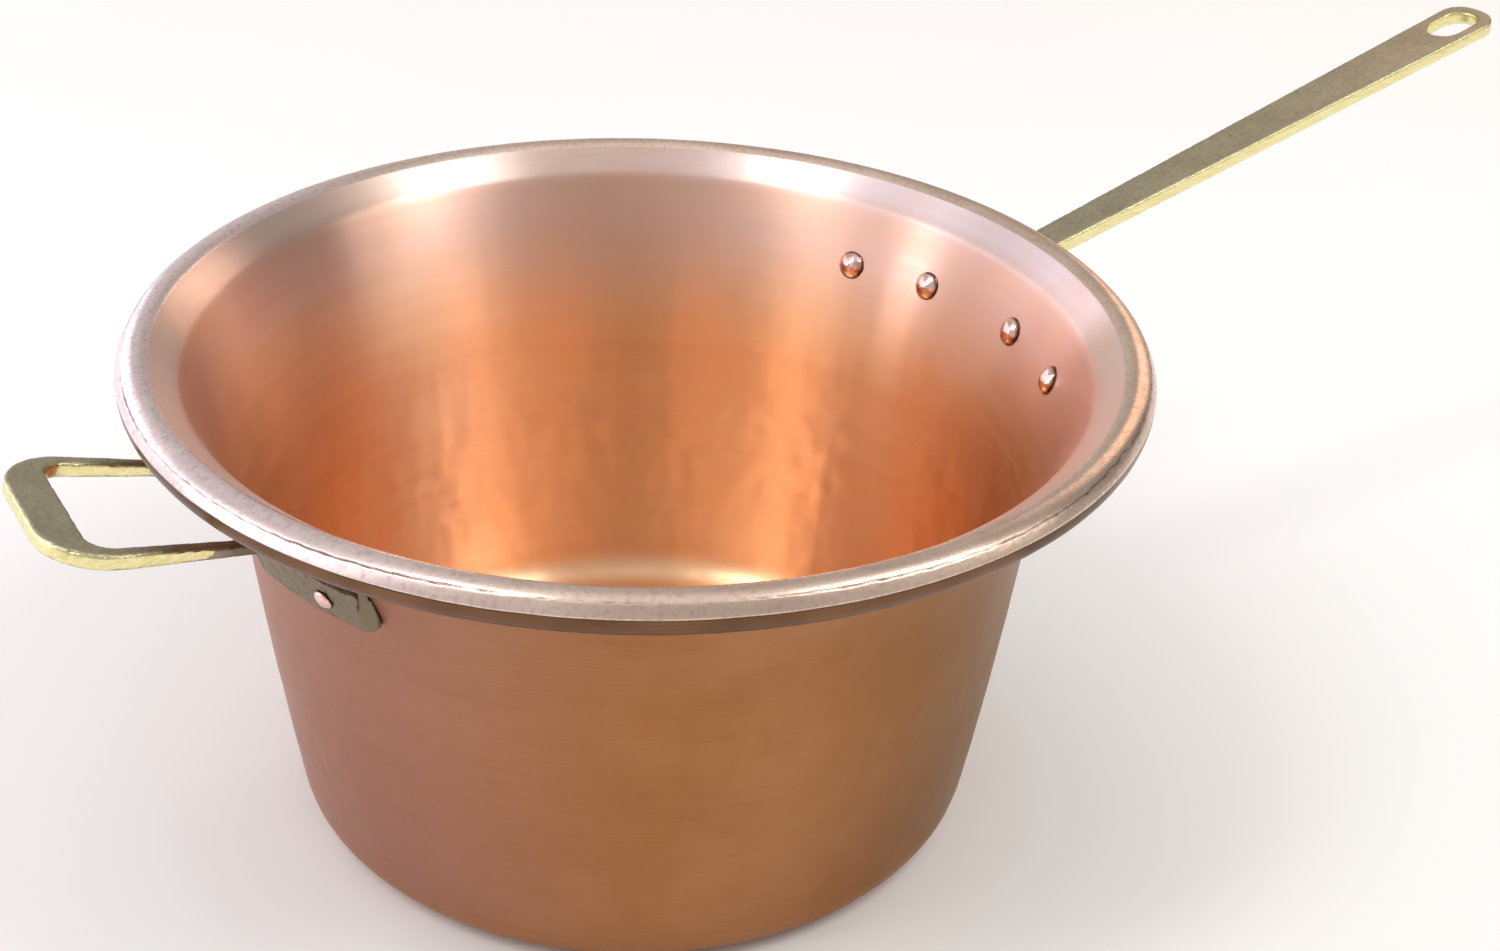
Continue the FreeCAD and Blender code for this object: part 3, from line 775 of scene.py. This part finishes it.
def softbox(name, azimuth, elevation, width, height, power, color, distance=LAMP_DISTANCE):
    """An area light that looks at the pan from a direction measured from the camera's side."""
    lamp = bpy.data.lights.new(name, "AREA")
    lamp.shape = "RECTANGLE"
    lamp.size, lamp.size_y = width, height
    lamp.energy = power
    lamp.color = color
    offset = from_camera_side(azimuth, elevation)
    light = bpy.data.objects.new(name, lamp)
    light.location = LAMP_AIM + offset * distance
    light.rotation_euler = offset.to_track_quat("Z", "Y").to_euler()
    light.visible_camera = False
    bpy.context.scene.collection.objects.link(light)


def soft_world():
    """A pale room, a little brighter overhead, with two darker sides."""
    world = bpy.data.worlds.new("soft_studio")
    bpy.context.scene.world = world
    world.use_nodes = True
    tree = world.node_tree
    background = tree.nodes["Background"]
    where = tree.nodes.new("ShaderNodeTexCoord").outputs["Generated"]
    split = tree.nodes.new("ShaderNodeSeparateXYZ")
    ramp = tree.nodes.new("ShaderNodeValToRGB")
    tree.links.new(where, split.inputs[0])
    tree.links.new(split.outputs["Z"], ramp.inputs[0])
    tree.links.new(ramp.outputs[0], background.inputs["Color"])

    below, horizon = (0.60, 0.58, 0.58, 1), (0.64, 0.62, 0.59, 1)
    stops = ramp.color_ramp.elements
    stops[0].position, stops[0].color = 0.0, below
    stops[1].position, stops[1].color = 0.50, horizon
    for place, glow in ((0.80, 0.62), (0.93, 0.82), (1.0, 0.86)):
        stops.new(place).color = (glow, glow * 0.99, glow * 0.99, 1)

    shade = tree.nodes.new("ShaderNodeMath")
    shade.operation = "MULTIPLY"
    front_right = darker_towards(tree, where, azimuth=30, elevation=30, start=0.80, least=0.75)
    behind_right = darker_towards(tree, where, azimuth=128, elevation=12, start=0.45, least=0.40)
    tree.links.new(front_right, shade.inputs[0])
    tree.links.new(behind_right, shade.inputs[1])
    tree.links.new(shade.outputs[0], background.inputs["Strength"])


def darker_towards(tree, where, azimuth, elevation, start, least):
    """A factor that falls from 1 to least as a direction nears the given one; start is a cosine."""
    near = tree.nodes.new("ShaderNodeVectorMath")
    near.operation = "DOT_PRODUCT"
    near.inputs[1].default_value = from_camera_side(azimuth, elevation)
    tree.links.new(where, near.inputs[0])
    fall = tree.nodes.new("ShaderNodeMapRange")
    tree.links.new(near.outputs["Value"], fall.inputs[0])
    nearest, full = 0.97, 1.0
    for socket, number in zip(list(fall.inputs)[1:5], (start, nearest, full, least)):
        socket.default_value = number
    return fall.outputs[0]


def camera():
    lens = bpy.data.cameras.new("view")
    lens.lens = CAMERA_LENS
    lens.sensor_width = SENSOR_WIDTH
    level = math.cos(VIEW_ELEVATION)
    forward = Vector((math.cos(VIEW_AZIMUTH) * level, math.sin(VIEW_AZIMUTH) * level,
                      -math.sin(VIEW_ELEVATION)))
    right = forward.cross(Vector((0, 0, 1))).normalized()
    up = right.cross(forward)
    across = right * math.cos(VIEW_ROLL) + up * math.sin(VIEW_ROLL)
    upright = up * math.cos(VIEW_ROLL) - right * math.sin(VIEW_ROLL)
    place = Matrix((across, upright, -forward)).transposed().to_4x4()
    place.translation = CAMERA_PLACE
    view = bpy.data.objects.new("view", lens)
    view.matrix_world = place
    bpy.context.scene.collection.objects.link(view)
    bpy.context.scene.camera = view


def lights():
    """Windows and lamps in the directions whose reflections the copper shows."""
    cool, lamp_white = (0.92, 0.90, 1.0), (1.0, 0.98, 0.95)
    softbox("window_left", azimuth=-75, elevation=22, width=1.5, height=1.4, power=6.0, color=cool)
    softbox("window_behind_left", azimuth=-125, elevation=15, width=1.6, height=1.0, power=6.5,
            color=(0.88, 0.85, 1.0), distance=1.9)
    softbox("window_slit", azimuth=-80, elevation=14, width=0.26, height=0.8, power=2.6,
            color=(0.97, 0.96, 1.0))
    softbox("window_right", azimuth=84, elevation=28, width=0.5, height=0.9, power=2.0,
            color=(1.0, 0.97, 0.93))
    softbox("glow_behind_right", azimuth=150, elevation=24, width=0.7, height=0.8, power=2.3,
            color=(1.0, 0.68, 0.50))
    softbox("lamp_left", azimuth=-55, elevation=58, width=0.34, height=0.9, power=6.5, color=lamp_white)
    softbox("lamp_right", azimuth=77, elevation=53, width=0.40, height=0.9, power=8.5, color=lamp_white)


def handles():
    bar_brass = cast_brass("cast_brass_bar", along=(120.0, 2600.0, 2600.0), patchy=0.0)
    cast_piece("brass_bar_handle", "long_handle", bar_brass, sloping_up(0.0, BAR_SLOPE),
               BAR_VOXEL, BAR_SAND, BAR_CHIP)
    loop_brass = cast_brass("cast_brass_loop", along=(500.0, 500.0, 1800.0), patchy=0.5)
    cast_piece("brass_loop_grip", "loop_handle", loop_brass, sloping_up(LOOP_AZIMUTH, LOOP_SLOPE),
               LOOP_VOXEL, LOOP_SAND, LOOP_CHIP)


def rivets():
    copper = rivet_copper()
    for number in range(1, 5):
        rivet_piece(f"handle_rivet_{number}", copper, flush=0.0)
    for number in range(1, 3):
        rivet_piece(f"loop_rivet_{number}", copper, flush=LOOP_RIVET_FLUSH)


def main():
    camera()
    soft_world()
    floor_piece()
    lights()

    pan = pan_piece([copper_inside(), copper_bead_top(), copper_bead_under_painted_shade(), copper_outside()])
    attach(pan, "root")
    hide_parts("pan_body")
    handles()
    rivets()

    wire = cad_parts["rim_wire"]
    wire.data.materials.clear()
    wire.data.materials.append(iron_wire())
    bpy.context.scene.view_settings.view_transform = "Standard"


main()
